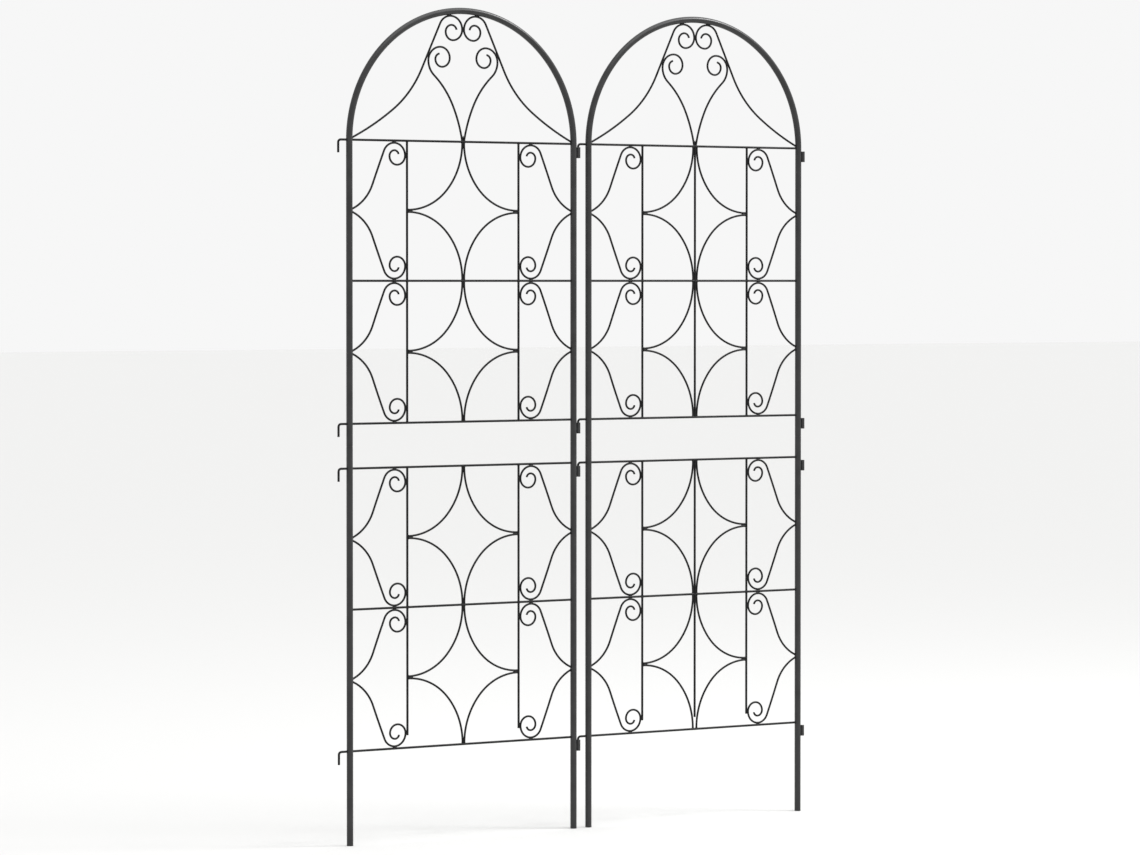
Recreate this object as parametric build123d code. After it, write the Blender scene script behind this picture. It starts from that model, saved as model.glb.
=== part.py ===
from build123d import *
import math
import os

# Metal trellis arch: two arch-topped panels of round steel tube filled with scrolled rods.
# Each panel is an upper section pushed onto a lower one, and the right panel hangs by its
# hooks in the sockets of the left panel.
# Millimetres. X runs along the panels, Z is up, the front faces -Y, every rod lies in Y = 0.
# Z = 0 is the cut end of the four legs, X = 0 is halfway across the whole pair.

# ---- driving dimensions ---------------------------------------------------------------
STILE_SPACING = 566.0  # between the axes of a panel's two upright tubes; the arch is half a circle
TUBE_OD = 14.0
TUBE_WALL = 1.0
BAR_D = 5.0  # crossbars with their hooks, uprights and centre rods
ROD_D = 4.5  # stars, scrolls and arch infill
WELD_GAP = 0.1  # the weld's root gap wherever two pieces meet

FOOT_LENGTH = 202.5  # ground to bar 6
LOWER_CELL_2 = 303.5  # bar 6 to bar 5
LOWER_CELL_1 = 302.0  # bar 5 to bar 4
SECTION_GAP = 95.5  # bar 4 to bar 3, with the push-fit joint halfway
UPPER_CELL_2 = 305.5  # bar 3 to bar 2
UPPER_CELL_1 = 301.0  # bar 2 to bar 1, where the arch springs

UPRIGHT_SPACING = 281.4  # between the axes of a panel's two upright rods
UPRIGHT_STOP = 27.0  # the lowest uprights and centre rod end this far above bar 6

SPIGOT_TO_BAR = 5.25  # the reduced top of each lower tube ends this far below bar 3's underside
SPIGOT_CLEARANCE = 0.3  # radial
SEAM_GAP = 0.3  # between the upper tube's end and the shoulder under it

HOOK_REACH = 27.0  # left tube axis to hook leg axis
HOOK_BEND = 6.0  # radius of the hook's bend, on its centreline
HOOK_DROP = 27.6  # bar axis to the end of the hook leg
SOCKET_OD = 10.0
SOCKET_CLEARANCE = 0.3  # radial, around the hook leg
SOCKET_LENGTH = 24.0
SOCKET_START = 7.0  # bar axis to the socket's upper end

SIDE_CURL = (27.0, 20.0, 18.5, 12.5, 10.0)  # radii of a curl's quarter turns, outside to inside
SIDE_LEAN = 22.0  # how far from upright the scroll's arm leaves its curl, degrees
SIDE_LANDING = 66.0  # the same where the arm meets the tube
SIDE_SPLIT = 3.2  # half the distance between an upper and a lower arm on the tube

CROWN_CURL = (29.0, 23.5, 18.0, 15.0, 12.5)
CROWN_LEAN = 25.0
CROWN_LANDING = 64.0
CROWN_RUN = 110.0  # straight part of the crown arm, which the vase curl touches
CROWN_FOOT = 2.4  # top of bar 1 to the axis of the arm's foot on the tube

VASE_CURL = (30.0, 23.5, 19.5, 16.5, 12.0)
VASE_DROP = 68.6395  # middle of the crown curl down to the widest point of the vase
VASE_SHOULDER = 42.0  # radius below the curl
VASE_LEAN = 48.0
VASE_LANDING = 10.0

LAST_TURN = 80.0  # the innermost turn of every curl stops short of a quarter, degrees

# ---- sizes that follow ----------------------------------------------------------------
TUBE_R = TUBE_OD / 2
BORE_R = TUBE_R - TUBE_WALL
BAR_R = BAR_D / 2
ROD_R = ROD_D / 2
SPIGOT_R = BORE_R - SPIGOT_CLEARANCE
BAR_HOLE_R = BAR_R + WELD_GAP
COPE_R = TUBE_R + WELD_GAP  # a rod's end is shaped to the tube it is welded to
COPE_LAP = 3.0  # length cut away by that shaping
MIDDLE = STILE_SPACING / 2
ARCH_R = STILE_SPACING / 2
UPRIGHT_X = MIDDLE - UPRIGHT_SPACING / 2
SOCKET_R = SOCKET_OD / 2
SOCKET_OFFSET = TUBE_R + SOCKET_R + WELD_GAP

BAR_Z = {6: FOOT_LENGTH}
BAR_Z[5] = BAR_Z[6] + LOWER_CELL_2
BAR_Z[4] = BAR_Z[5] + LOWER_CELL_1
BAR_Z[3] = BAR_Z[4] + SECTION_GAP
BAR_Z[2] = BAR_Z[3] + UPPER_CELL_2
BAR_Z[1] = BAR_Z[2] + UPPER_CELL_1
SEAM_Z = (BAR_Z[4] + BAR_Z[3]) / 2
SPRING_Z = BAR_Z[1]

HOOKED_BARS = (1, 3, 4, 6)
CELLS = {1: (1, 2), 2: (2, 3), 3: (4, 5), 4: (5, 6)}  # cell: the bars above and below it
SECTIONS = {"upper": (1, 2), "lower": (3, 4)}  # section: its cells

PANEL_PITCH = STILE_SPACING + SOCKET_OFFSET + HOOK_REACH
LEFT_EDGE = -HOOK_REACH - BAR_R
RIGHT_EDGE = PANEL_PITCH + STILE_SPACING + SOCKET_OFFSET + SOCKET_R
LEFT_X = -(LEFT_EDGE + RIGHT_EDGE) / 2
PANEL_X = {"left": LEFT_X, "right": LEFT_X + PANEL_PITCH}


# ---- drawing a rod --------------------------------------------------------------------
def ray(angle, length=1.0):
    """The step of this length at an angle from +X towards +Z."""
    return Vector(length * math.cos(math.radians(angle)), 0, length * math.sin(math.radians(angle)))


class Route:
    """A centreline in the plane Y = 0, drawn like a pen with straight runs and tangent arcs."""

    def __init__(self, x, z, angle):
        self.point = Vector(x, 0, z)
        self.angle = angle
        self.edges = []

    def straight(self, length):
        end = self.point + ray(self.angle, length)
        self.edges.append(Line(self.point, end))
        self.point = end
        return self

    def bend(self, radius, turn):
        """An arc through `turn` degrees, to the left when positive."""
        side = math.copysign(90, turn)
        centre = self.point + ray(self.angle + side, radius)
        halfway = centre + ray(self.angle - side + turn / 2, radius)
        end = centre + ray(self.angle - side + turn, radius)
        self.edges.append(ThreePointArc(self.point, halfway, end))
        self.point = end
        self.angle += turn
        return self

    def reach(self, x, z, angle):
        """Two arcs, tangent to each other, to a point and a direction there."""
        start, end = self.point, Vector(x, 0, z)
        leave, arrive = ray(self.angle), ray(angle)
        step, both = end - start, leave + arrive
        spread = 2 * (1 - leave.dot(arrive))
        along = step.dot(both)
        tangent = (math.sqrt(along**2 + spread * step.dot(step)) - along) / spread
        joint = (start + end + (leave - arrive) * tangent) * 0.5
        self.edges.append(TangentArc(start, joint, tangent=leave))
        self.edges.append(TangentArc(joint, end, tangent=self.edges[-1] % 1))
        self.point = end
        self.angle = angle
        return self

    def curl(self, radii, side):
        """Quarter turns of shrinking radius; side is 1 for left and -1 for right."""
        for radius in radii[:-1]:
            self.bend(radius, 90 * side)
        return self.bend(radii[-1], LAST_TURN * side)

    def rod(self, radius):
        path = Wire(self.edges)
        section = Plane(origin=path @ 0, z_dir=path % 0) * Circle(radius)
        return sweep(section, path=path)


def joined(back, forward):
    """One route from two drawn away from a shared start: the first is walked backwards."""
    whole = Route(0, 0, 0)
    whole.edges = list(reversed(back.edges)) + forward.edges
    return whole


def upright_cylinder(x, low, high, radius):
    return Pos(x, 0, (low + high) / 2) * Cylinder(radius, high - low)


def flipped_x(solid):
    """Mirrored across the panel's centre line."""
    return mirror(solid, about=Plane(origin=(MIDDLE, 0, 0), z_dir=(1, 0, 0)))


def flipped_z(solid, height):
    return mirror(solid, about=Plane(origin=(0, 0, height), z_dir=(0, 0, 1)))


# ---- tubes ----------------------------------------------------------------------------
def bar_hole(bar):
    """The drilling that lets a hooked bar through the left tube."""
    return Pos(0, 0, BAR_Z[bar]) * Rot(0, 90, 0) * Cylinder(BAR_HOLE_R, 2 * TUBE_OD)


def hoop():
    """The upper section's tube: two legs and the half-circle arch, bent from one length."""
    leg = SPRING_Z - SEAM_Z
    tube = None
    for radius in (TUBE_R, BORE_R):
        route = Route(0, SEAM_Z, 90).straight(leg).bend(ARCH_R, -180).straight(leg)
        tube = route.rod(radius) if tube is None else tube - route.rod(radius)
    return tube - [bar_hole(1), bar_hole(3)]


def lower_stile(x, holes):
    """A leg of the lower section, reduced at the top to a spigot with a shoulder below it."""
    top = BAR_Z[3] - BAR_R - SPIGOT_TO_BAR
    shoulder = SEAM_Z - SEAM_GAP
    throat_r = SPIGOT_R - TUBE_WALL
    profile = Polyline(
        (BORE_R, 0, 0),
        (TUBE_R, 0, 0),
        (TUBE_R, 0, shoulder),
        (SPIGOT_R, 0, shoulder),
        (SPIGOT_R, 0, top - TUBE_WALL),
        (SPIGOT_R - TUBE_WALL / 2, 0, top),
        (throat_r, 0, top),
        (throat_r, 0, shoulder - TUBE_WALL),
        (BORE_R, 0, shoulder - 2 * TUBE_WALL),
        close=True,
    )
    tube = revolve(make_face(profile), axis=Axis.Z)
    for bar in holes:
        tube -= bar_hole(bar)
    return Pos(x, 0, 0) * tube


def socket(bar):
    """The short tube on the right stile that takes the next panel's hook."""
    top = BAR_Z[bar] - SOCKET_START
    outer = upright_cylinder(STILE_SPACING + SOCKET_OFFSET, top - SOCKET_LENGTH, top, SOCKET_R)
    bore = upright_cylinder(
        STILE_SPACING + SOCKET_OFFSET, top - SOCKET_LENGTH, top, BAR_R + SOCKET_CLEARANCE
    )
    return outer - bore


# ---- straight rods --------------------------------------------------------------------
def coped(rod, *stiles):
    """The rod with its ends shaped to the tubes at these X positions."""
    box = rod.bounding_box()
    for x in stiles:
        rod -= upright_cylinder(x, box.min.Z - TUBE_OD, box.max.Z + TUBE_OD, COPE_R)
    return rod


def crossbar(bar):
    """A bar between the tubes; a hooked one runs on through the left tube and turns down."""
    right_end = STILE_SPACING - TUBE_R + COPE_LAP
    if bar not in HOOKED_BARS:
        plain = Route(TUBE_R - COPE_LAP, BAR_Z[bar], 0).straight(right_end - TUBE_R + COPE_LAP)
        return coped(plain.rod(BAR_R), 0, STILE_SPACING)
    hooked = Route(right_end, BAR_Z[bar], 180).straight(right_end + HOOK_REACH - HOOK_BEND)
    hooked.bend(HOOK_BEND, 90).straight(HOOK_DROP - HOOK_BEND)
    return coped(hooked.rod(BAR_R), STILE_SPACING)


def upright_piece(x, cell):
    """A rod between two bars; in the lowest cell it stops above bar 6."""
    above, below = CELLS[cell]
    low = BAR_Z[below] + (UPRIGHT_STOP if below == 6 else BAR_R + WELD_GAP)
    return upright_cylinder(x, low, BAR_Z[above] - BAR_R - WELD_GAP, BAR_R)


def uprights(section):
    return [
        upright_piece(x, cell)
        for cell in SECTIONS[section]
        for x in (UPRIGHT_X, STILE_SPACING - UPRIGHT_X)
    ]


# ---- bent rods ------------------------------------------------------------------------
def star(cell, centre_rod):
    """Four arcs bowed towards the middle of the cell, tip to tip on the bars and uprights."""
    above, below = CELLS[cell]
    halfway = (BAR_Z[above] + BAR_Z[below]) / 2
    tip_half = ROD_R + WELD_GAP / 2
    if centre_rod:
        tip_half = BAR_R + ROD_R + WELD_GAP
    arc = Route(UPRIGHT_X + BAR_R + WELD_GAP, halfway + ROD_R + WELD_GAP / 2, 0)
    arc.reach(MIDDLE - tip_half, BAR_Z[above] - BAR_R - WELD_GAP, 90)
    upper_left = arc.rod(ROD_R)
    upper_pair = [upper_left, flipped_x(upper_left)]
    return upper_pair + [flipped_z(rod, halfway) for rod in upper_pair]


def side_scrolls(cell):
    """The two scrolls of a cell's left column: curl against bar and upright, arm to the tube."""
    above, below = CELLS[cell]
    halfway = (BAR_Z[above] + BAR_Z[below]) / 2
    clear = BAR_R + ROD_R + WELD_GAP
    top_x = UPRIGHT_X - clear - SIDE_CURL[0]
    top_z = BAR_Z[above] - clear
    inward = Route(top_x, top_z, 0).curl(SIDE_CURL, -1)
    outward = Route(top_x, top_z, 180).bend(SIDE_CURL[0], 90 - SIDE_LEAN)
    outward.reach(TUBE_R, halfway + SIDE_SPLIT, 270 - SIDE_LANDING).straight(COPE_LAP)
    upper = coped(joined(outward, inward).rod(ROD_R), 0)
    return [upper, flipped_z(upper, halfway)]


def crown_curl_centre():
    """Where the crown curl's outer turn touches both the centre line and the hoop."""
    x = MIDDLE - ROD_R - WELD_GAP / 2 - CROWN_CURL[0]
    inside = ARCH_R - TUBE_R - WELD_GAP - ROD_R - CROWN_CURL[0]
    return x, SPRING_Z + math.sqrt(inside**2 - (MIDDLE - x) ** 2)


def crown_arm_start():
    """Where the crown arm's straight run leaves the curl."""
    x, z = crown_curl_centre()
    return Vector(x, 0, z) + ray(180 - CROWN_LEAN, CROWN_CURL[0])


def crown_scrolls():
    """The pair that rises from the tubes to the crown and curls inward."""
    x, z = crown_curl_centre()
    inward = Route(x, z + CROWN_CURL[0], 0).curl(CROWN_CURL, -1)
    outward = Route(x, z + CROWN_CURL[0], 180).bend(CROWN_CURL[0], 90 - CROWN_LEAN)
    foot_z = SPRING_Z + BAR_R + CROWN_FOOT
    outward.straight(CROWN_RUN).reach(TUBE_R, foot_z, 270 - CROWN_LANDING).straight(COPE_LAP)
    left = coped(joined(outward, inward).rod(ROD_R), 0)
    return [left, flipped_x(left)]


def vase_scrolls():
    """The pair that opens upwards from the middle of bar 1 and rests against the crown arms."""
    lean = math.radians(CROWN_LEAN)
    start = crown_arm_start()
    eye_z = crown_curl_centre()[1] - VASE_DROP
    away = VASE_CURL[0] + ROD_D + WELD_GAP
    eye_x = start.X + (away + (eye_z - start.Z) * math.sin(lean)) / math.cos(lean)
    widest_x = eye_x - VASE_CURL[0]
    upward = Route(widest_x, eye_z, 90).curl(VASE_CURL, -1)
    downward = Route(widest_x, eye_z, 270).bend(VASE_SHOULDER, VASE_LEAN)
    foot_x = MIDDLE - (ROD_R + WELD_GAP / 2) / math.cos(math.radians(VASE_LANDING))
    foot_x -= ROD_R * math.tan(math.radians(VASE_LANDING))
    foot_z = SPRING_Z + BAR_R + WELD_GAP + ROD_R * math.sin(math.radians(VASE_LANDING))
    downward.reach(foot_x, foot_z, 270 + VASE_LANDING)
    left = joined(downward, upward).rod(ROD_R)
    return [left, flipped_x(left)]


# ---- panels ---------------------------------------------------------------------------
def panel(side):
    """Every named piece of one panel, with the left tube's axis at X = 0."""
    has_centre_rod = side == "right"
    pieces = {
        "hoop": [hoop()],
        "lower_left_stile": [lower_stile(0, (4, 6))],
        "lower_right_stile": [lower_stile(STILE_SPACING, ())],
        "crown_scrolls": crown_scrolls(),
        "vase_scrolls": vase_scrolls(),
        "upper_sockets": [socket(1), socket(3)],
        "lower_sockets": [socket(4), socket(6)],
    }
    for bar in BAR_Z:
        pieces[f"bar_{bar}"] = [crossbar(bar)]
    for section, cells in SECTIONS.items():
        pieces[f"{section}_uprights"] = uprights(section)
        if has_centre_rod:
            pieces[f"{section}_centre_rods"] = [upright_piece(MIDDLE, cell) for cell in cells]
    for cell in CELLS:
        pieces[f"star_{cell}"] = star(cell, has_centre_rod)
        scrolls = side_scrolls(cell)
        pieces[f"side_scrolls_{cell}_left"] = scrolls
        pieces[f"side_scrolls_{cell}_right"] = [flipped_x(scroll) for scroll in scrolls]
    return pieces


os.makedirs("parts", exist_ok=True)
for side, panel_x in PANEL_X.items():
    for name, solids in panel(side).items():
        placed = [Pos(panel_x, 0, 0) * solid for solid in solids]
        shape = placed[0] if len(placed) == 1 else Compound(children=placed)
        export_step(shape, f"parts/{side}_{name}.step")
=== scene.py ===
import math

import bpy
import numpy as np
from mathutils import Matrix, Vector


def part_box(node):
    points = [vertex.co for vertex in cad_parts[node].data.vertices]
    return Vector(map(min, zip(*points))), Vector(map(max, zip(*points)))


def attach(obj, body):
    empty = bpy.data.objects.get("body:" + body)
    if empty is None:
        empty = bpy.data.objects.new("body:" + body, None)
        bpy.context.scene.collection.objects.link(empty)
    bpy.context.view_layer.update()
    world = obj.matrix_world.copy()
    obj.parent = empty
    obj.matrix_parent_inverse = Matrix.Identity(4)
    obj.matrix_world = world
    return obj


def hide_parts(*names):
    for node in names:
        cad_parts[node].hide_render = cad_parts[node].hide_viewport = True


bl_info = {
    "name": "Trellis arch finish",
    "version": (1, 0, 0),
    "blender": (4, 5, 0),
    "location": "View3D > Sidebar > Trellis",
    "description": "Tubes, scrolled rods, weld beads and powder coat for a pair of trellis panels",
    "category": "Object",
}

# Metres. X runs along the panels, Z is up, the front faces -Y and every rod lies in Y = 0.
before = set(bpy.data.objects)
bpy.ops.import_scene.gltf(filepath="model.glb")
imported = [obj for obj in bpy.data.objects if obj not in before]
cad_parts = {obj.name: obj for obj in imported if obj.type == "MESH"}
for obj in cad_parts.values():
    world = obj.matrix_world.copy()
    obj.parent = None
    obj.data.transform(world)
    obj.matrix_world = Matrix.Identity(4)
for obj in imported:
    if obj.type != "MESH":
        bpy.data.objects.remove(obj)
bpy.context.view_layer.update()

SIDES = ("left", "right")
HOOKED_BARS = (1, 3, 4, 6)
CELLS = {1: (1, 2), 2: (2, 3), 3: (4, 5), 4: (5, 6)}  # cell: the bars above and below it
CELLS_OF = {"upper": (1, 2), "lower": (3, 4)}
BARS_OF = {"upper": (1, 2, 3), "lower": (4, 5, 6)}


# ---- places read from the frame ----------------------------------------------------------
def corners(node):
    return np.array([list(corner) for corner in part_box(node)])


def middle(node):
    return corners(node).mean(axis=0)


def size_of(node):
    low, high = corners(node)
    return high - low


TUBE_R = size_of("left_lower_left_stile")[0] / 2
BAR_R = size_of("left_bar_2")[1] / 2
ROD_R = size_of("left_star_1")[1] / 2
SOCKET_R = size_of("left_upper_sockets")[1] / 2
SPACING = middle("left_lower_right_stile")[0] - middle("left_lower_left_stile")[0]
BAR_Z = {bar: corners(f"left_bar_{bar}")[1][2] - BAR_R for bar in range(1, 7)}
SPRING_Z = BAR_Z[1]
SEAM_Z = corners("left_hoop")[0][2]
SPIGOT_TOP = corners("left_lower_left_stile")[1][2]
PANEL_X = {side: middle(f"{side}_lower_left_stile")[0] for side in SIDES}
UPRIGHT_X = corners("left_upper_uprights")[0][0] + BAR_R - PANEL_X["left"]
UPRIGHT_END = corners("left_lower_uprights")[0][2]
HOOK_X = corners("left_bar_1")[0][0] + BAR_R - PANEL_X["left"]
HOOK_DROP = BAR_Z[1] + BAR_R - corners("left_bar_1")[0][2] - BAR_R
SOCKET_X = middle("left_upper_sockets")[0] - PANEL_X["left"]
SOCKET_TOP = BAR_Z[1] - corners("left_upper_sockets")[1][2]
MIDDLE = SPACING / 2

TUBE_AROUND = 56  # points round each kind of piece
SOCKET_AROUND = 36
ROD_AROUND = 22
BEAD_AROUND = 16
COLLAR_AROUND = 28
BEAD_ROWS = 11  # rings along a bead
ROD_BEVEL = 0.0004
BAR_SINK = 0.0015  # how far a bar's end reaches past the nearest line of its tube
ARM_SINK = 0.001  # the same for a scroll's arm
ARC_SAG = 0.0000375  # furthest that an arc's chord leaves the arc
TIGHT_ARC = 0.005  # arcs smaller than this get no more points
SHARP_EDGE = math.radians(38)

# A collar's outline: how far out from the rod and up from the host, in fillet legs, and how much
# of the host's falling away each point follows.
COLLAR_OUT = np.array([1.0, 0.62, 0.3, 0.0, -1.2, -1.2])
COLLAR_UP = np.array([-0.25, 0.12, 0.5, 1.05, 0.8, -0.6])
COLLAR_FALL = np.array([1.0, 0.9, 0.6, 0.15, 0.15, 1.0])


# ---- settings -----------------------------------------------------------------------------
class TrellisTubeSettings(bpy.types.PropertyGroup):
    wall: bpy.props.FloatProperty(
        name="Tube wall", description="Wall of the upright tubes", default=0.001, unit="LENGTH"
    )
    break_edge: bpy.props.FloatProperty(
        name="Broken edge",
        description="Chamfer left by deburring each cut tube end",
        default=0.00035,
        unit="LENGTH",
    )
    seam_gap: bpy.props.FloatProperty(
        name="Seam gap",
        description="Between the upper tube's end and the shoulder under it",
        default=0.0003,
        unit="LENGTH",
    )
    spigot_clearance: bpy.props.FloatProperty(
        name="Spigot clearance",
        description="Radial, between the spigot and the upper tube",
        default=0.0003,
        unit="LENGTH",
    )
    hook_clearance: bpy.props.FloatProperty(
        name="Hook clearance",
        description="Radial, between a hook leg and its socket",
        default=0.0003,
        unit="LENGTH",
    )


class TrellisRodSettings(bpy.types.PropertyGroup):
    weld_gap: bpy.props.FloatProperty(
        name="Root gap", description="Between two welded pieces", default=0.0001, unit="LENGTH"
    )
    hook_bend: bpy.props.FloatProperty(
        name="Hook bend", description="Radius of the hook's bend", default=0.006, unit="LENGTH"
    )
    side_curl: bpy.props.FloatVectorProperty(
        name="Side curl",
        description="Radii of the side scroll's quarter turns, outside to inside",
        size=5,
        default=(0.027, 0.020, 0.0185, 0.0125, 0.010),
        unit="LENGTH",
    )
    side_lean: bpy.props.FloatProperty(
        name="Side lean", description="Arm's lean where it leaves the curl, degrees", default=22.0
    )
    side_landing: bpy.props.FloatProperty(
        name="Side landing", description="Arm's lean where it meets the tube, degrees", default=66.0
    )
    side_split: bpy.props.FloatProperty(
        name="Side split",
        description="Half the distance between two arms on the tube",
        default=0.0032,
        unit="LENGTH",
    )
    crown_curl: bpy.props.FloatVectorProperty(
        name="Crown curl",
        description="Radii of the crown scroll's quarter turns, outside to inside",
        size=5,
        default=(0.029, 0.0235, 0.018, 0.015, 0.0125),
        unit="LENGTH",
    )
    crown_lean: bpy.props.FloatProperty(
        name="Crown lean", description="Arm's lean where it leaves the curl, degrees", default=25.0
    )
    crown_landing: bpy.props.FloatProperty(
        name="Crown landing", description="Arm's lean where it meets the tube, degrees", default=64.0
    )
    crown_run: bpy.props.FloatProperty(
        name="Crown run", description="Straight part of the arm", default=0.110, unit="LENGTH"
    )
    crown_foot: bpy.props.FloatProperty(
        name="Crown foot", description="Bar 1 to the arm's foot", default=0.0049, unit="LENGTH"
    )
    vase_curl: bpy.props.FloatVectorProperty(
        name="Vase curl",
        description="Radii of the vase scroll's quarter turns, outside to inside",
        size=5,
        default=(0.030, 0.0235, 0.0195, 0.0165, 0.012),
        unit="LENGTH",
    )
    vase_eye: bpy.props.FloatProperty(
        name="Vase eye", description="Bar 1 to the vase's widest point", default=0.174, unit="LENGTH"
    )
    vase_shoulder: bpy.props.FloatProperty(
        name="Vase shoulder", description="Radius below the curl", default=0.042, unit="LENGTH"
    )
    vase_lean: bpy.props.FloatProperty(
        name="Vase lean", description="Steepest lean of the vase, degrees", default=48.0
    )
    vase_landing: bpy.props.FloatProperty(
        name="Vase landing", description="Lean of the vase's foot on bar 1, degrees", default=10.0
    )
    last_turn: bpy.props.FloatProperty(
        name="Last turn", description="Sweep of each curl's innermost turn, degrees", default=80.0
    )


class TrellisWeldSettings(bpy.types.PropertyGroup):
    leg: bpy.props.FloatProperty(
        name="Fillet leg", description="Size of the bead round a butted rod", default=0.0011, unit="LENGTH"
    )
    tack: bpy.props.FloatProperty(
        name="Tack length",
        description="Half the length of the tack between two rods side by side",
        default=0.0048,
        unit="LENGTH",
    )
    ripple: bpy.props.FloatProperty(
        name="Ripple", description="Unevenness of a bead, as a share of its size", default=0.12
    )


class TrellisCoatSettings(bpy.types.PropertyGroup):
    tube_colour: bpy.props.FloatVectorProperty(
        name="Tube coat",
        description="Powder coat on the tubes",
        subtype="COLOR",
        default=(0.009, 0.009, 0.0095),
    )
    # Painted shade: the rods wear the same powder coat as the tubes, and this darker colour stands in for
    # the weaker reflections of the thin rods.
    rod_shaded_colour: bpy.props.FloatVectorProperty(
        name="Rod coat",
        description="Powder coat on the rods, thinner and darker",
        subtype="COLOR",
        default=(0.003, 0.003, 0.0033),
    )
    tube_shine: bpy.props.FloatProperty(
        name="Tube shine", description="Specular level of the tubes' coat", default=0.5
    )
    rod_shine: bpy.props.FloatProperty(
        name="Rod shine", description="Specular level of the rods' coat", default=0.18
    )
    roughness: bpy.props.FloatProperty(name="Roughness", description="Satin finish", default=0.32)
    peel_size: bpy.props.FloatProperty(
        name="Orange peel size", description="Width of the coat's ripples", default=0.0016, unit="LENGTH"
    )
    peel_depth: bpy.props.FloatProperty(
        name="Orange peel depth", description="Depth of the ripples", default=0.000035, unit="LENGTH"
    )


class TrellisStageSettings(bpy.types.PropertyGroup):
    floor_colour: bpy.props.FloatVectorProperty(
        name="Floor", description="Pale floor", subtype="COLOR", default=(0.62, 0.62, 0.615)
    )
    sky_strength: bpy.props.FloatProperty(
        name="Room light", description="Strength of the white room all round", default=0.93
    )
    sun_strength: bpy.props.FloatProperty(
        name="Ceiling light", description="Strength of the wide, even light from above", default=1.7
    )
    key_power: bpy.props.FloatProperty(
        name="Key light", description="Power of the soft box up on the right", default=130.0, unit="POWER"
    )


# ---- centrelines --------------------------------------------------------------------------
def ray(angle, length=1.0):
    """The step of this length at an angle in degrees from +X towards +Z, as (x, z)."""
    return length * np.array([math.cos(math.radians(angle)), math.sin(math.radians(angle))])


class Path:
    """Points (x, z) of a centreline in Y = 0 and its heading, in radians, at each of them."""

    def __init__(self, x, z, heading):
        self.x, self.z, self.heading = x, z, heading

    def flipped_x(self, about):
        return Path(2 * about - self.x, self.z, math.pi - self.heading)

    def flipped_z(self, about):
        return Path(self.x, 2 * about - self.z, -self.heading)

    def moved(self, dx):
        return Path(self.x + dx, self.z, self.heading)

    def backwards(self):
        return Path(self.x[::-1], self.z[::-1], self.heading[::-1] + math.pi)

    def bevelled(self, bevel):
        """The path with one more point just inside each end, a bevel's length away from it."""
        inside = [1, len(self.x) - 1]
        ends = self.heading[[0, -1]]
        across, up = bevel * np.cos(ends), bevel * np.sin(ends)
        return Path(
            np.insert(self.x, inside, [self.x[0] + across[0], self.x[-1] - across[1]]),
            np.insert(self.z, inside, [self.z[0] + up[0], self.z[-1] - up[1]]),
            np.insert(self.heading, inside, ends),
        )

    def followed_by(self, other):
        return Path(
            np.concatenate([self.x, other.x]),
            np.concatenate([self.z, other.z]),
            np.concatenate([self.heading, other.heading]),
        )


class Route:
    """A centreline drawn like a pen: straight runs and tangent arcs, kept as sampled stretches."""

    def __init__(self, x, z, angle):
        self.point, self.angle = np.array([x, z]), angle
        self.stretches = []

    def straight(self, length):
        """The two ends of a run along the heading."""
        points = np.stack([self.point, self.point + ray(self.angle, length)])
        self.stretches.append((points, np.full(2, self.angle)))
        self.point = points[-1]
        return self

    def bend(self, radius, turn):
        """Points on a circle: centre + radius at angles that run through the turn."""
        step = math.degrees(math.sqrt(8 * ARC_SAG / max(radius, TIGHT_ARC)))
        steps = max(3, int(abs(turn) / step) + 2)
        side = math.copysign(90, turn)
        centre = self.point + ray(self.angle + side, radius)
        headings = self.angle + np.linspace(0, turn, steps)
        spokes = np.radians(headings - side)
        points = centre + radius * np.stack([np.cos(spokes), np.sin(spokes)], axis=1)
        self.stretches.append((points, headings))
        self.point, self.angle = points[-1], self.angle + turn
        return self

    def arc_to(self, end):
        """The circle that is tangent to the heading and passes through the end."""
        step = end - self.point
        off = math.degrees(math.atan2(step[1], step[0])) - self.angle
        off = (off + 180) % 360 - 180
        radius = np.linalg.norm(step) / (2 * math.sin(math.radians(abs(off))))
        return self.bend(radius, 2 * off)

    def reach(self, x, z, angle):
        """Two arcs, tangent to each other, to a point and a heading there."""
        start, end = self.point, np.array([x, z])
        leave, arrive = ray(self.angle), ray(angle)
        step, both = end - start, leave + arrive
        spread = 2 * (1 - leave @ arrive)
        along = step @ both
        tangent = (math.sqrt(along**2 + spread * (step @ step)) - along) / spread
        self.arc_to((start + end + (leave - arrive) * tangent) / 2)
        return self.arc_to(end)

    def curl(self, radii, side, last_turn):
        """Quarter turns of shrinking radius; side is 1 for left and -1 for right."""
        for radius in radii[:-1]:
            self.bend(radius, 90 * side)
        return self.bend(radii[-1], last_turn * side)

    def path(self):
        points = np.concatenate([stretch[0] for stretch in self.stretches])
        headings = np.concatenate([stretch[1] for stretch in self.stretches])
        keep = np.concatenate([[True], np.linalg.norm(np.diff(points, axis=0), axis=1) > 1e-7])
        return Path(points[keep, 0], points[keep, 1], np.radians(headings[keep]))


def joined(back, forward):
    """One path from two drawn away from a shared start: the first is walked backwards."""
    first = back.path().backwards()
    first = Path(first.x[:-1], first.z[:-1], first.heading[:-1])
    return first.followed_by(forward.path())


# ---- surfaces -----------------------------------------------------------------------------
def rings(path, half_across, half_deep, around):
    """Ring k is centre k + across * normal - deep * Y, an ellipse square to the path."""
    turn = np.linspace(0, 2 * math.pi, around, endpoint=False)
    across = half_across[:, None] * np.cos(turn)
    deep = -half_deep[:, None] * np.sin(turn)
    x = path.x[:, None] - across * np.sin(path.heading)[:, None]
    z = path.z[:, None] + across * np.cos(path.heading)[:, None]
    return np.stack([x, deep + 0 * x, z], axis=-1)


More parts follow.
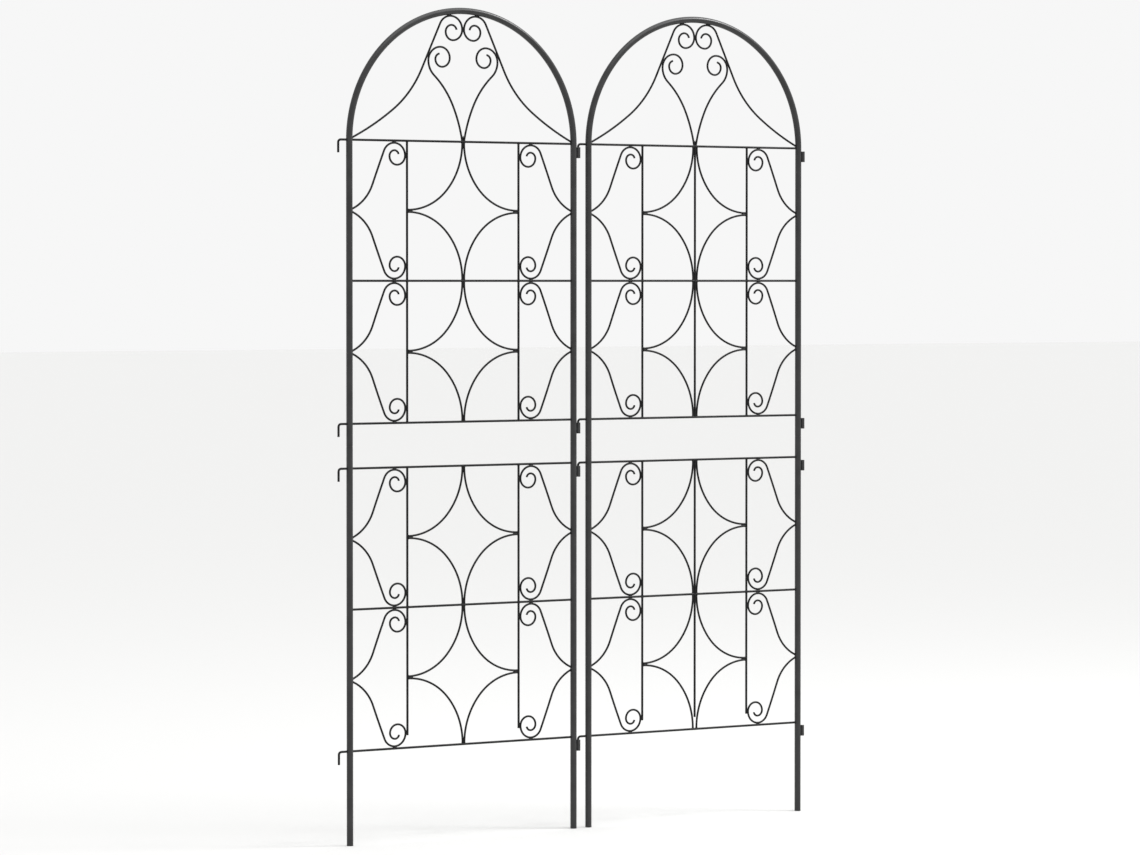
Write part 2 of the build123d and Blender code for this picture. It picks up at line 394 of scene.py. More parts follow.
def wrap(rows, columns, closed_rows):
    """Quads of a grid of rows and columns whose columns close, and whose rows may close too."""
    last = rows if closed_rows else rows - 1
    row = np.arange(last)[:, None]
    column = np.arange(columns)[None, :]
    here, there = row * columns, (row + 1) % rows * columns
    beside = (column + 1) % columns
    quads = np.stack([here + column, here + beside, there + beside, there + column], axis=-1)
    return quads.reshape(-1, 4)


class Shape:
    """Vertices and faces gathered from several surfaces, for one mesh."""

    def __init__(self):
        self.vertices, self.quads, self.triangles, self.count = [], [], [], 0

    def add(self, vertices, quads, triangles=None):
        self.vertices.append(vertices)
        self.quads.append(quads + self.count)
        if triangles is not None:
            self.triangles.append(triangles + self.count)
        self.count += len(vertices)

    def solid(self, path, half_across, half_deep, around):
        """A closed surface: rings along the path, and a point in the middle of each end."""
        grid = rings(path, half_across, half_deep, around)
        rows = len(path.x)
        ends = np.array([[path.x[0], 0, path.z[0]], [path.x[-1], 0, path.z[-1]]])
        vertices = np.concatenate([grid.reshape(-1, 3), ends])
        spoke = np.arange(around)
        beside = (spoke + 1) % around
        first, last = rows * around, rows * around + 1
        top = (rows - 1) * around
        start = np.stack([beside, spoke, np.full(around, first)], axis=1)
        finish = np.stack([top + spoke, top + beside, np.full(around, last)], axis=1)
        self.add(vertices, wrap(rows, around, False), np.concatenate([start, finish]))

    def rod(self, path, radius):
        """A round rod: constant radius, but for a small bevel at each end."""
        path = path.bevelled(ROD_BEVEL)
        radii = np.full(len(path.x), radius)
        radii[[0, -1]] = radius - ROD_BEVEL
        self.solid(path, radii, radii, ROD_AROUND)

    def tube(self, path, outer, inner, around, edge):
        """A tube wall: out along the path at the outer radius and back at the inner one."""
        path = path.bevelled(edge)
        back = Path(path.x[::-1], path.z[::-1], path.heading[::-1])
        outside = np.full(len(path.x), outer)
        outside[[0, -1]] = outer - edge
        inside = np.full(len(path.x), inner)
        inside[[0, -1]] = inner + edge
        radii = np.concatenate([outside, inside])
        grid = rings(path.followed_by(back), radii, radii, around)
        self.add(grid.reshape(-1, 3), wrap(len(radii), around, True))

    def turned(self, x, profile, around):
        """A profile of (radius, height) points turned about an upright axis, closed on itself."""
        profile = np.array(profile)
        spread = np.linspace(0, 2 * math.pi, around, endpoint=False)
        px = x + profile[:, :1] * np.cos(spread)
        py = profile[:, :1] * np.sin(spread)
        pz = profile[:, 1:] + 0 * px
        grid = np.stack([px, py, pz], axis=-1)
        self.add(grid.reshape(-1, 3), wrap(len(profile), around, True))

    def lump(self, x, z, angle, half_length, half_across, half_deep):
        """An ellipsoid of weld metal along a heading: each ring shrinks as the root of 1 - s^2."""
        s = np.sin(np.linspace(-math.pi / 2, math.pi / 2, BEAD_ROWS))
        shrink = np.sqrt(np.clip(1 - s**2, 0.0004, 1))
        step = ray(angle, half_length)
        heading = np.full(BEAD_ROWS, math.radians(angle))
        path = Path(x + s * step[0], z + s * step[1], heading)
        self.solid(path, half_across * shrink, half_deep * shrink, BEAD_AROUND)

    def collar(self, x, z, angle, rod_r, host_r, beads):
        """A fillet round a rod that leaves a round host at this heading.

        Around the rod the profile runs from the host, at the rod's radius plus the leg, up to the
        rod at one leg above, and closes inside both. The host falls away from its tangent plane
        by R - sqrt(R^2 - y^2), and so does the bead's lower edge.
        """
        turn = np.linspace(0, 2 * math.pi, COLLAR_AROUND, endpoint=False)[:, None]
        uneven = 1 + beads.ripple * np.sin(3 * turn + 40 * x) * np.cos(2 * turn + 70 * z)
        out = rod_r + beads.leg * uneven * COLLAR_OUT
        up = beads.leg * uneven * COLLAR_UP
        side = out * np.sin(turn)
        fall = host_r - np.sqrt(np.clip(host_r**2 - side**2, 0, None))
        height = up - fall * COLLAR_FALL
        step, normal = ray(angle), ray(angle + 90)
        across = out * np.cos(turn)
        px = x + height * step[0] + across * normal[0]
        pz = z + height * step[1] + across * normal[1]
        grid = np.stack([px, side, pz], axis=-1)
        self.add(grid.reshape(-1, 3), wrap(COLLAR_AROUND, len(COLLAR_OUT), True))

    def piece(self, name, material, body, *nodes):
        """The gathered mesh as an object at the origin that rides on a body and stands for nodes."""
        vertices = np.concatenate(self.vertices)
        quads = np.concatenate(self.quads)
        triangles = np.concatenate(self.triangles) if self.triangles else np.zeros((0, 3), int)
        mesh = bpy.data.meshes.new(name)
        mesh.vertices.add(len(vertices))
        mesh.vertices.foreach_set("co", vertices.astype(np.float32).ravel())
        mesh.loops.add(quads.size + triangles.size)
        mesh.loops.foreach_set("vertex_index", np.concatenate([quads.ravel(), triangles.ravel()]))
        starts = np.arange(len(quads)) * 4
        starts = np.concatenate([starts, quads.size + np.arange(len(triangles)) * 3])
        mesh.polygons.add(len(starts))
        mesh.polygons.foreach_set("loop_start", starts)
        mesh.update(calc_edges=True)
        mesh.validate()
        mesh.shade_smooth()
        mesh.set_sharp_from_angle(angle=SHARP_EDGE)
        mesh.materials.append(material)
        made = bpy.data.objects.new(name, mesh)
        bpy.context.scene.collection.objects.link(made)
        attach(made, body)
        if nodes:
            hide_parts(*nodes)
        return made


# ---- powder coat --------------------------------------------------------------------------
class Value:
    """A shader socket that Python's arithmetic turns into Math nodes."""

    def __init__(self, tree, socket):
        self.tree, self.socket = tree, socket

    def math(self, operation, *values):
        return self.tree.add("ShaderNodeMath", {"operation": operation}, *values)

    def __add__(self, other):
        return self.math("ADD", self, other)

    __radd__ = __add__

    def __mul__(self, other):
        return self.math("MULTIPLY", self, other)

    __rmul__ = __mul__

    def __sub__(self, other):
        return self.math("SUBTRACT", self, other)

    def __rsub__(self, other):
        return self.math("SUBTRACT", other, self)

    def above(self, edge, softness):
        """0 below the edge and 1 above it, with a soft step between."""
        return self.tree.add(
            "ShaderNodeMapRange",
            {"interpolation_type": "SMOOTHSTEP"},
            self,
            edge - softness,
            edge + softness,
            0.0,
            1.0,
        )


class Shader:
    """A material's node tree, built by naming each node's type, settings and inputs in order."""

    def __init__(self, name):
        self.material = bpy.data.materials.new(name)
        self.material.use_nodes = True
        self.nodes = self.material.node_tree.nodes
        self.links = self.material.node_tree.links
        self.principled = self.nodes["Principled BSDF"]

    def plug(self, target, value):
        if isinstance(value, Value):
            self.links.new(value.socket, target)
        elif value is not None:
            target.default_value = value

    def add(self, kind, settings, *values, output=0, **named):
        node = self.nodes.new(kind)
        for key, setting in settings.items():
            setattr(node, key, setting)
        for target, value in zip(node.inputs, values):
            self.plug(target, value)
        for key, value in named.items():
            self.plug(node.inputs[key.replace("_", " ")], value)
        return Value(self, node.outputs[output])

    def noise(self, place, size, detail=2.0, roughness=0.5):
        """Smooth noise whose features are about this wide, in metres."""
        settings = {"noise_dimensions": "3D"}
        return self.add(
            "ShaderNodeTexNoise", settings, Vector=place, Scale=1 / size, Detail=detail, Roughness=roughness
        )

    def mix(self, share, first, second):
        """A colour between two, by a share from 0 to 1."""
        node = self.nodes.new("ShaderNodeMix")
        node.data_type = "RGBA"
        self.plug(node.inputs["Factor"], share)
        self.plug(node.inputs[6], first)
        self.plug(node.inputs[7], second)
        return Value(self, node.outputs[2])


def powder_coat(name, colour, shine, coat):
    """Satin powder coat: orange peel, fine grain, faint mottling and a few nibs in the film."""
    shader = Shader(name)
    place = shader.add("ShaderNodeTexCoord", {}, output="Object")
    peel = shader.noise(place, coat.peel_size, detail=1.0)
    grain = shader.noise(place, coat.peel_size / 5, detail=2.0, roughness=0.6)
    mottle = shader.noise(place, 0.035, detail=3.0, roughness=0.55)
    nibs = shader.noise(place, 0.0028, detail=0.0).above(0.745, 0.02)
    light = tuple(min(1.0, channel * 1.5 + 0.004) for channel in colour) + (1.0,)
    dark = tuple(channel * 0.8 for channel in colour) + (1.0,)
    tone = mottle.above(0.5, 0.28)
    shader.plug(shader.principled.inputs["Base Color"], shader.mix(tone, dark, light))
    rough = coat.roughness - 0.05 + mottle * 0.10 + grain * 0.06
    shader.plug(shader.principled.inputs["Roughness"], rough)
    height = peel + grain * 0.22 + nibs * 0.8
    bump = shader.add(
        "ShaderNodeBump", {}, Strength=0.55, Distance=coat.peel_depth, Height=height, output="Normal"
    )
    shader.plug(shader.principled.inputs["Normal"], bump)
    shader.principled.inputs["Metallic"].default_value = 0.0
    shader.principled.inputs["Specular IOR Level"].default_value = shine
    return shader.material


def coat_material(kind):
    """The tube or the rod coat, made once."""
    name = f"{kind}_powder_coat"
    coat = bpy.context.scene.trellis_coat
    # The rod colour is painted shade, a darker copy of the tube coat.
    colour = tuple(coat.tube_colour if kind == "tube" else coat.rod_shaded_colour)
    shine = coat.tube_shine if kind == "tube" else coat.rod_shine
    return bpy.data.materials.get(name) or powder_coat(name, colour, shine, coat)


# ---- centrelines of the rods, with the left tube's axis at X = 0 ---------------------------
def straight_path(x, z, angle, length):
    return Route(x, z, angle).straight(length).path()


def bar_path(bar, rods):
    """Between the tubes, and for a hooked bar on through the left tube and down."""
    if bar not in HOOKED_BARS:
        start = TUBE_R - BAR_SINK
        return straight_path(start, BAR_Z[bar], 0, SPACING - 2 * start)
    right_end = SPACING - TUBE_R + BAR_SINK
    route = Route(right_end, BAR_Z[bar], 180).straight(right_end - HOOK_X - rods.hook_bend)
    route.bend(rods.hook_bend, 90).straight(HOOK_DROP - rods.hook_bend)
    return route.path()


def hooked_bars(section):
    return [bar for bar in BARS_OF[section] if bar in HOOKED_BARS]


def cell_middle(cell):
    above, below = CELLS[cell]
    return (BAR_Z[above] + BAR_Z[below]) / 2


def upright_ends(cell, rods):
    above, below = CELLS[cell]
    low = UPRIGHT_END if below == 6 else BAR_Z[below] + BAR_R + rods.weld_gap
    return low, BAR_Z[above] - BAR_R - rods.weld_gap


def star_tip_half(side, rods):
    """Half the distance between the two upper tips of a star: beside each other or the rod."""
    if side == "right":
        return BAR_R + ROD_R + rods.weld_gap
    return ROD_R + rods.weld_gap / 2


def star_paths(side, cell, rods):
    """Four arcs bowed towards the middle of the cell."""
    halfway, tip_half = cell_middle(cell), star_tip_half(side, rods)
    start_x = UPRIGHT_X + BAR_R + rods.weld_gap
    route = Route(start_x, halfway + ROD_R + rods.weld_gap / 2, 0)
    route.reach(MIDDLE - tip_half, BAR_Z[CELLS[cell][0]] - BAR_R - rods.weld_gap, 90)
    upper = [route.path(), route.path().flipped_x(MIDDLE)]
    return upper + [path.flipped_z(halfway) for path in upper]


def side_scroll_paths(cell, rods):
    """The two scrolls of a left column: a curl against bar and upright, an arm to the tube."""
    halfway = cell_middle(cell)
    clear = BAR_R + ROD_R + rods.weld_gap
    curl = list(rods.side_curl)
    x, z = UPRIGHT_X - clear - curl[0], BAR_Z[CELLS[cell][0]] - clear
    inward = Route(x, z, 0).curl(curl, -1, rods.last_turn)
    outward = Route(x, z, 180).bend(curl[0], 90 - rods.side_lean)
    outward.reach(TUBE_R, halfway + rods.side_split, 270 - rods.side_landing).straight(ARM_SINK)
    upper = joined(outward, inward)
    return [upper, upper.flipped_z(halfway)]


def crown_curl_centre(rods):
    """Where the crown curl's outer turn touches both the centre line and the hoop."""
    x = MIDDLE - ROD_R - rods.weld_gap / 2 - rods.crown_curl[0]
    inside = MIDDLE - TUBE_R - rods.weld_gap - ROD_R - rods.crown_curl[0]
    return x, SPRING_Z + math.sqrt(inside**2 - (MIDDLE - x) ** 2)


def crown_path(rods):
    """The left scroll from the tube up to the crown, where it curls inward."""
    x, z = crown_curl_centre(rods)
    curl = list(rods.crown_curl)
    inward = Route(x, z + curl[0], 0).curl(curl, -1, rods.last_turn)
    outward = Route(x, z + curl[0], 180).bend(curl[0], 90 - rods.crown_lean)
    outward.straight(rods.crown_run)
    outward.reach(TUBE_R, SPRING_Z + rods.crown_foot, 270 - rods.crown_landing).straight(ARM_SINK)
    return joined(outward, inward)


def vase_eye(rods):
    """Centre of the vase curl's outer turn, one rod away from the crown arm."""
    lean = math.radians(rods.crown_lean)
    start = np.array(crown_curl_centre(rods)) + ray(180 - rods.crown_lean, rods.crown_curl[0])
    z = SPRING_Z + rods.vase_eye
    away = rods.vase_curl[0] + 2 * ROD_R + rods.weld_gap
    return start[0] + (away + (z - start[1]) * math.sin(lean)) / math.cos(lean), z


def vase_foot(rods):
    """Where the left vase rod stands on bar 1, beside its twin."""
    landing = math.radians(rods.vase_landing)
    x = MIDDLE - (ROD_R + rods.weld_gap / 2) / math.cos(landing) - ROD_R * math.tan(landing)
    return x, SPRING_Z + BAR_R + rods.weld_gap + ROD_R * math.sin(landing)


def vase_path(rods):
    """The left rod that opens upwards from bar 1 and rests against the crown arm."""
    x, z = vase_eye(rods)
    widest = x - rods.vase_curl[0]
    upward = Route(widest, z, 90).curl(list(rods.vase_curl), -1, rods.last_turn)
    downward = Route(widest, z, 270).bend(rods.vase_shoulder, rods.vase_lean)
    downward.reach(*vase_foot(rods), 270 + rods.vase_landing)
    return joined(downward, upward)


# ---- operators: tubes ---------------------------------------------------------------------
class TRELLIS_OT_hoops(bpy.types.Operator):
    """Make each panel's upper tube, two legs and a half-circle arch, as a hollow swept wall"""

    bl_idname = "trellis.hoops"
    bl_label = "Hoops"

    def execute(self, context):
        tubes = context.scene.trellis_tubes
        leg = SPRING_Z - SEAM_Z
        for side in SIDES:
            route = Route(PANEL_X[side], SEAM_Z, 90).straight(leg).bend(MIDDLE, -180).straight(leg)
            shape = Shape()
            shape.tube(route.path(), TUBE_R, TUBE_R - tubes.wall, TUBE_AROUND, tubes.break_edge)
            shape.piece(f"{side}_hoop_tube", coat_material("tube"), f"{side}_upper", f"{side}_hoop")
        return {"FINISHED"}


def stile_profile(tubes):
    """Outline of a lower tube's wall: cut foot, shoulder, spigot with a lead-in, and bore."""
    edge, wall = tubes.break_edge, tubes.wall
    bore = TUBE_R - wall
    spigot = bore - tubes.spigot_clearance
    shoulder = SEAM_Z - tubes.seam_gap
    return [
        (bore + edge, 0.0),
        (TUBE_R - edge, 0.0),
        (TUBE_R, edge),
        (TUBE_R, shoulder - edge),
        (TUBE_R - edge, shoulder),
        (spigot, shoulder),
        (spigot, SPIGOT_TOP - wall),
        (spigot - wall / 2, SPIGOT_TOP),
        (spigot - wall, SPIGOT_TOP),
        (spigot - wall, shoulder - wall),
        (bore, shoulder - 2 * wall),
        (bore, edge),
    ]


class TRELLIS_OT_lower_tubes(bpy.types.Operator):
    """Make the four legs, each turned from its wall outline with a push-fit spigot on top"""

    bl_idname = "trellis.lower_tubes"
    bl_label = "Lower tubes"

    def execute(self, context):
        tubes = context.scene.trellis_tubes
        for side in SIDES:
            for place, x in (("left", 0.0), ("right", SPACING)):
                shape = Shape()
                shape.turned(PANEL_X[side] + x, stile_profile(tubes), TUBE_AROUND)
                node = f"{side}_lower_{place}_stile"
                shape.piece(f"{node}_tube", coat_material("tube"), f"{side}_lower", node)
        return {"FINISHED"}


class TRELLIS_OT_sockets(bpy.types.Operator):
    """Make the short tubes on each right-hand stile that take the next panel's hooks"""

    bl_idname = "trellis.sockets"
    bl_label = "Sockets"

    def execute(self, context):
        tubes = context.scene.trellis_tubes
        bore = BAR_R + tubes.hook_clearance
        for side in SIDES:
            for section in CELLS_OF:
                node = f"{side}_{section}_sockets"
                shape = Shape()
                for bar in hooked_bars(section):
                    top = BAR_Z[bar] - SOCKET_TOP
                    low = top - socket_length()
                    path = straight_path(PANEL_X[side] + SOCKET_X, low, 90, top - low)
                    shape.tube(path, SOCKET_R, bore, SOCKET_AROUND, tubes.break_edge)
                shape.piece(f"{node}_tubes", coat_material("tube"), f"{side}_{section}", node)
        return {"FINISHED"}


def socket_length():
    """A pair's box is as tall as the distance between its bars plus one socket."""
    return size_of("left_upper_sockets")[2] - (BAR_Z[1] - BAR_Z[3])


# ---- operators: rods ----------------------------------------------------------------------
class TRELLIS_OT_bars(bpy.types.Operator):
    """Make the six crossbars of each panel, four of them ending in a hook"""

    bl_idname = "trellis.bars"
    bl_label = "Crossbars"

    def execute(self, context):
        rods = context.scene.trellis_rods
        for side in SIDES:
            for section, bars in BARS_OF.items():
                for bar in bars:
                    shape = Shape()
                    shape.rod(bar_path(bar, rods).moved(PANEL_X[side]), BAR_R)
                    node = f"{side}_bar_{bar}"
                    shape.piece(f"{node}_rod", coat_material("rod"), f"{side}_{section}", node)
        return {"FINISHED"}


class TRELLIS_OT_uprights(bpy.types.Operator):
    """Make the upright rods of both panels and the centre rods of the right one"""

    bl_idname = "trellis.uprights"
    bl_label = "Uprights"

    def execute(self, context):
        rods = context.scene.trellis_rods
        groups = [(side, "uprights", (UPRIGHT_X, SPACING - UPRIGHT_X)) for side in SIDES]
        groups.append(("right", "centre_rods", (MIDDLE,)))
        for side, group, columns in groups:
            for section, cells in CELLS_OF.items():
                shape = Shape()
                for cell in cells:
                    low, high = upright_ends(cell, rods)
                    for x in columns:
                        shape.rod(straight_path(PANEL_X[side] + x, low, 90, high - low), BAR_R)
                node = f"{side}_{section}_{group}"
                shape.piece(f"{node}_set", coat_material("rod"), f"{side}_{section}", node)
        return {"FINISHED"}


def cells_and_sections():
    return [(cell, section) for section, cells in CELLS_OF.items() for cell in cells]


def rod_group(node, side, section, paths):
    """One piece of several scrolled rods, standing for the node."""
    shape = Shape()
    for path in paths:
        shape.rod(path.moved(PANEL_X[side]), ROD_R)
    shape.piece(f"{node}_rods", coat_material("rod"), f"{side}_{section}", node)


class TRELLIS_OT_stars(bpy.types.Operator):
    """Make the four-pointed star of each cell from four bowed rods"""

    bl_idname = "trellis.stars"
    bl_label = "Stars"

    def execute(self, context):
        rods = context.scene.trellis_rods
        for side in SIDES:
            for cell, section in cells_and_sections():
                rod_group(f"{side}_star_{cell}", side, section, star_paths(side, cell, rods))
        return {"FINISHED"}


class TRELLIS_OT_side_scrolls(bpy.types.Operator):
    """Make the curled scrolls in the side columns"""

    bl_idname = "trellis.side_scrolls"
    bl_label = "Side scrolls"

    def execute(self, context):
        rods = context.scene.trellis_rods
        for side in SIDES:
            for cell, section in cells_and_sections():
                left = side_scroll_paths(cell, rods)
                right = [path.flipped_x(MIDDLE) for path in left]
                rod_group(f"{side}_side_scrolls_{cell}_left", side, section, left)
                rod_group(f"{side}_side_scrolls_{cell}_right", side, section, right)
        return {"FINISHED"}


class TRELLIS_OT_arch_scrolls(bpy.types.Operator):
    """Make the crown scrolls and the vase scrolls inside each arch"""

    bl_idname = "trellis.arch_scrolls"
    bl_label = "Arch scrolls"

    def execute(self, context):
        rods = context.scene.trellis_rods
        for side in SIDES:
            for group, draw in (("crown_scrolls", crown_path), ("vase_scrolls", vase_path)):
                left = draw(rods)
                rod_group(f"{side}_{group}", side, "upper", [left, left.flipped_x(MIDDLE)])
        return {"FINISHED"}


# ---- operators: welds ---------------------------------------------------------------------
BEAD_RISE = 0.0006  # a tip's bead sits this far off the bar
SEAM_HALF = 0.006  # half the length of the seam between two tips
SEAM_ACROSS = 0.0009
TIP_DEEP = 1.06  # depths of beads, as shares of the rod's radius
SEAM_DEEP = 0.72
TACK_DEEP = 0.8
TACK_ACROSS = 0.0010
ARM_BEAD = (ROD_R * 1.35, 0.0015, ROD_R * 1.22)  # half sizes of the bead under a scroll's arm
ARM_RISE = 0.0004


def bar_welds(shape, side, section, beads):
    """A fillet where each bar meets or passes a tube."""
    x0 = PANEL_X[side]
    for bar in BARS_OF[section]:
        z = BAR_Z[bar]
        places = [(TUBE_R, 0), (SPACING - TUBE_R, 180)]
        if bar in HOOKED_BARS:
            places.append((-TUBE_R, 180))
        for x, angle in places:
            shape.collar(x0 + x, z, angle, BAR_R, TUBE_R, beads)


def upright_welds(shape, side, section, beads):
    """A fillet at both ends of every upright rod, except the free ends above bar 6."""
    columns = [UPRIGHT_X, SPACING - UPRIGHT_X] + ([MIDDLE] if side == "right" else [])
    for cell in CELLS_OF[section]:
        above, below = CELLS[cell]
        for x in columns:
            place = PANEL_X[side] + x
            shape.collar(place, BAR_Z[above] - BAR_R, 270, BAR_R, BAR_R, beads)
            if below != 6:
                shape.collar(place, BAR_Z[below] + BAR_R, 90, BAR_R, BAR_R, beads)


def star_welds(shape, side, section, rods):
    """Beads under the paired tips of each star and between them, on the bars and the uprights."""
    tip_half = star_tip_half(side, rods)
    for cell in CELLS_OF[section]:
        above, below = CELLS[cell]
        for bar, out in ((above, -1), (below, 1)):
            z = BAR_Z[bar] + out * (BAR_R + BEAD_RISE)
            for x in (MIDDLE - tip_half, MIDDLE + tip_half):
                shape.lump(PANEL_X[side] + x, z, 0, ROD_R * 1.25, 0.0017, ROD_R * TIP_DEEP)
            seam_z = BAR_Z[bar] + out * (BAR_R + SEAM_HALF)
            seams = (MIDDLE,) if side == "left" else (MIDDLE - BAR_R, MIDDLE + BAR_R)
            if side == "right" and bar == 6:
                seams = ()  # the lowest centre rod stops above the tips
            for x in seams:
                shape.lump(PANEL_X[side] + x, seam_z, 90, SEAM_HALF, SEAM_ACROSS, ROD_R * SEAM_DEEP)
        for x, out in ((UPRIGHT_X, 1), (SPACING - UPRIGHT_X, -1)):
            halfway = cell_middle(cell)
            place = PANEL_X[side] + x + out * (BAR_R + BEAD_RISE)
            shape.lump(place, halfway, 90, ROD_R * 2.25, 0.0016, ROD_R * TIP_DEEP)
            seam = PANEL_X[side] + x + out * (BAR_R + SEAM_HALF)
            shape.lump(seam, halfway, 0, SEAM_HALF, SEAM_ACROSS, ROD_R * SEAM_DEEP)


def scroll_welds(shape, side, section, beads, rods):
    """Tacks where each side curl touches its bar and upright, and beads under the arms."""
    clear = ROD_R + rods.weld_gap / 2
    for cell in CELLS_OF[section]:
        halfway = cell_middle(cell)
        curl_x = UPRIGHT_X - BAR_R - ROD_R - rods.weld_gap - rods.side_curl[0]
        touch_z = BAR_Z[CELLS[cell][0]] - BAR_R - rods.weld_gap / 2
        turn_z = touch_z - clear - rods.side_curl[0]
        left = [
            (curl_x, touch_z, 0, beads.tack, TACK_ACROSS, ROD_R * TACK_DEEP),
            (UPRIGHT_X - BAR_R, turn_z, 90, beads.tack, TACK_ACROSS, ROD_R * TACK_DEEP),
            (TUBE_R + ARM_RISE, halfway + rods.side_split, 90, *ARM_BEAD),
        ]
        for x, z, angle, length, across, deep in left:
            for column in (x, SPACING - x):
                for level in (z, 2 * halfway - z):
                    shape.lump(PANEL_X[side] + column, level, angle, length, across, deep)


def arch_welds(shape, side, beads, rods):
    """Tacks that hold the crown curls to the hoop and each other, and the vase to the arms."""
    x0 = PANEL_X[side]
    centre = np.array(crown_curl_centre(rods))
    outward = centre - np.array([MIDDLE, SPRING_Z])
    outward = outward / np.linalg.norm(outward)
    hoop_touch = centre + outward * (rods.crown_curl[0] + ROD_R)
    hoop_angle = math.degrees(math.atan2(outward[1], outward[0])) - 90
    vase_touch = np.array(vase_eye(rods)) + ray(180 - rods.crown_lean, rods.vase_curl[0] + ROD_R)
    foot_x, foot_z = vase_foot(rods)
    shape.lump(x0 + MIDDLE, centre[1], 90, beads.tack, TACK_ACROSS, ROD_R * TACK_DEEP)
    shape.lump(x0 + MIDDLE, foot_z + 0.004, 90, 0.0065, 0.0011, ROD_R * 0.75)
    pairs = [
        (*hoop_touch, hoop_angle, beads.tack * 1.3, 0.0012, ROD_R * 0.85),
        (*vase_touch, 90 - rods.crown_lean, beads.tack, TACK_ACROSS, ROD_R * TACK_DEEP),
        (foot_x, foot_z - BEAD_RISE, 0, ROD_R * 1.3, 0.0016, ROD_R * TIP_DEEP),
        (TUBE_R + ARM_RISE, SPRING_Z + rods.crown_foot, 90, *ARM_BEAD),
    ]
    for x, z, angle, length, across, deep in pairs:
        shape.lump(x0 + x, z, angle, length, across, deep)
        shape.lump(x0 + SPACING - x, z, 180 - angle, length, across, deep)


def socket_welds(shape, side, section):
    """A long bead in the groove between each socket and its stile."""
    half = socket_length() / 2
    for bar in hooked_bars(section):
        z = BAR_Z[bar] - SOCKET_TOP - half
        x = PANEL_X[side] + SPACING + TUBE_R
        shape.lump(x, z, 90, half * 0.86, 0.0011, 0.0027)


class TRELLIS_OT_welds(bpy.types.Operator):
    """Make the weld beads of each section, gathered by what they hold"""

    bl_idname = "trellis.welds"
    bl_label = "Weld beads"

    def execute(self, context):
        rods, beads = context.scene.trellis_rods, context.scene.trellis_welds
        for side in SIDES:
            for section in CELLS_OF:
                body = f"{side}_{section}"
                straight, bent, socket = Shape(), Shape(), Shape()
                bar_welds(straight, side, section, beads)
                upright_welds(straight, side, section, beads)
                star_welds(bent, side, section, rods)
                scroll_welds(bent, side, section, beads, rods)
                if section == "upper":
                    arch_welds(bent, side, beads, rods)
                socket_welds(socket, side, section)
                # These beads take the rod coat, whose darker colour is painted shade.
                straight.piece(f"{body}_bar_welds", coat_material("rod"), body)
                bent.piece(f"{body}_scroll_welds", coat_material("rod"), body)
                socket.piece(f"{body}_socket_welds", coat_material("tube"), body)
        return {"FINISHED"}


# ---- operator: stage ----------------------------------------------------------------------
FLOOR_HALF = 60.0


def plain_material(name, colour, roughness):
    shader = Shader(name)
    shader.principled.inputs["Base Color"].default_value = (*colour, 1.0)
    shader.principled.inputs["Roughness"].default_value = roughness
    shader.principled.inputs["Specular IOR Level"].default_value = 0.1
    return shader.material


def soft_box(name, place, aim, size, power):
    light = bpy.data.lights.new(name, "AREA")
    light.shape = "RECTANGLE"
    light.size, light.size_y = size
    light.energy = power
    lamp = bpy.data.objects.new(name, light)
    lamp.location = place
    lamp.rotation_euler = (Vector(aim) - Vector(place)).to_track_quat("-Z", "Y").to_euler()
    bpy.context.scene.collection.objects.link(lamp)


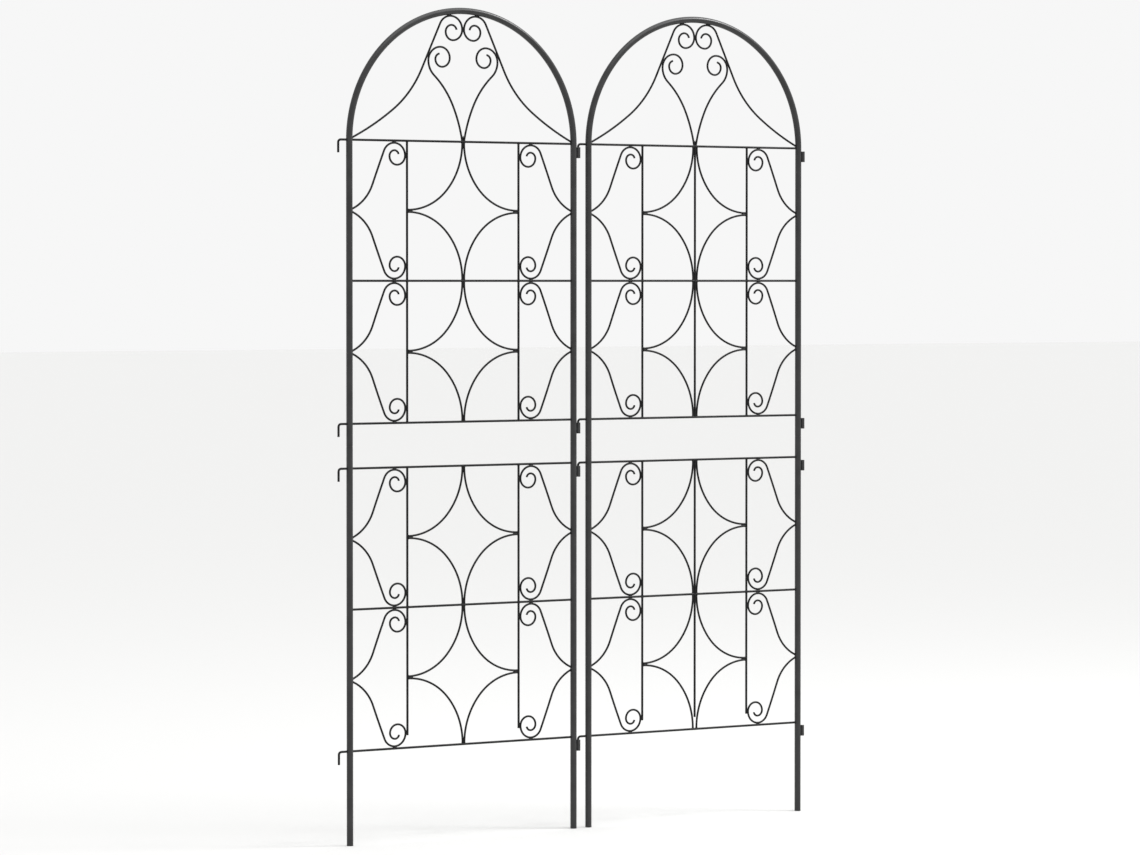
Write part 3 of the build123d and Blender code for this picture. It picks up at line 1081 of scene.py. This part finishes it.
class TRELLIS_OT_stage(bpy.types.Operator):
    """Make the pale floor, the soft lights and the camera"""

    bl_idname = "trellis.stage"
    bl_label = "Stage"

    def execute(self, context):
        settings = context.scene.trellis_stage
        scene = context.scene
        half = FLOOR_HALF
        mesh = bpy.data.meshes.new("floor")
        square = [(-half, -half, 0), (half, -half, 0), (half, half, 0), (-half, half, 0)]
        mesh.from_pydata(square, [], [(0, 1, 2, 3)])
        mesh.materials.append(plain_material("pale_floor", tuple(settings.floor_colour), 0.9))
        floor = bpy.data.objects.new("floor", mesh)
        scene.collection.objects.link(floor)
        world = bpy.data.worlds.new("studio")
        world.use_nodes = True
        world.node_tree.nodes["Background"].inputs["Color"].default_value = (1.0, 1.0, 1.0, 1.0)
        world.node_tree.nodes["Background"].inputs["Strength"].default_value = settings.sky_strength
        scene.world = world
        ceiling = bpy.data.lights.new("ceiling", "SUN")
        ceiling.energy = settings.sun_strength
        ceiling.angle = math.radians(70)
        lamp = bpy.data.objects.new("ceiling", ceiling)
        lamp.rotation_euler = (math.radians(18), math.radians(14), 0)
        scene.collection.objects.link(lamp)
        soft_box("key", (3.1, -1.9, 4.4), (0.1, 0.0, 1.6), (1.0, 1.0), settings.key_power)
        self.camera(scene)
        scene.view_settings.view_transform = "Standard"
        return {"FINISHED"}

    def camera(self, scene):
        """Level with bar 2, to the left of the pair, turned 32.3 degrees and tipped slightly down."""
        lens = bpy.data.cameras.new("camera")
        lens.sensor_width = 36.0
        lens.lens = 139.4
        lens.shift_y = -0.04
        lens.clip_end = 200.0
        camera = bpy.data.objects.new("camera", lens)
        camera.location = (PANEL_X["left"] - 4.637, -8.216, BAR_Z[2])
        camera.rotation_euler = (math.radians(90 - 1.312), 0, math.radians(-32.3))
        scene.collection.objects.link(camera)
        scene.camera = camera


# ---- panel and registration ---------------------------------------------------------------
MAKERS = (
    TRELLIS_OT_hoops,
    TRELLIS_OT_lower_tubes,
    TRELLIS_OT_sockets,
    TRELLIS_OT_bars,
    TRELLIS_OT_uprights,
    TRELLIS_OT_stars,
    TRELLIS_OT_side_scrolls,
    TRELLIS_OT_arch_scrolls,
    TRELLIS_OT_welds,
    TRELLIS_OT_stage,
)

SETTINGS = {
    "trellis_tubes": TrellisTubeSettings,
    "trellis_rods": TrellisRodSettings,
    "trellis_welds": TrellisWeldSettings,
    "trellis_coat": TrellisCoatSettings,
    "trellis_stage": TrellisStageSettings,
}


class TRELLIS_PT_sidebar(bpy.types.Panel):
    """Settings and pieces of the trellis pair"""

    bl_label = "Trellis"
    bl_idname = "TRELLIS_PT_sidebar"
    bl_space_type = "VIEW_3D"
    bl_region_type = "UI"
    bl_category = "Trellis"

    def draw(self, context):
        for name, kind in SETTINGS.items():
            box = self.layout.box()
            for prop in kind.__annotations__:
                box.prop(getattr(context.scene, name), prop)
        for maker in MAKERS:
            self.layout.operator(maker.bl_idname)


def register():
    for kind in (*SETTINGS.values(), *MAKERS, TRELLIS_PT_sidebar):
        bpy.utils.register_class(kind)
    for name, kind in SETTINGS.items():
        setattr(bpy.types.Scene, name, bpy.props.PointerProperty(type=kind))


def unregister():
    for name in SETTINGS:
        delattr(bpy.types.Scene, name)
    for kind in (TRELLIS_PT_sidebar, *reversed(MAKERS), *reversed(tuple(SETTINGS.values()))):
        bpy.utils.unregister_class(kind)


def main():
    register()
    bpy.ops.trellis.hoops()
    bpy.ops.trellis.lower_tubes()
    bpy.ops.trellis.sockets()
    bpy.ops.trellis.bars()
    bpy.ops.trellis.uprights()
    bpy.ops.trellis.stars()
    bpy.ops.trellis.side_scrolls()
    bpy.ops.trellis.arch_scrolls()
    bpy.ops.trellis.welds()
    bpy.ops.trellis.stage()


if __name__ == "__main__":
    main()
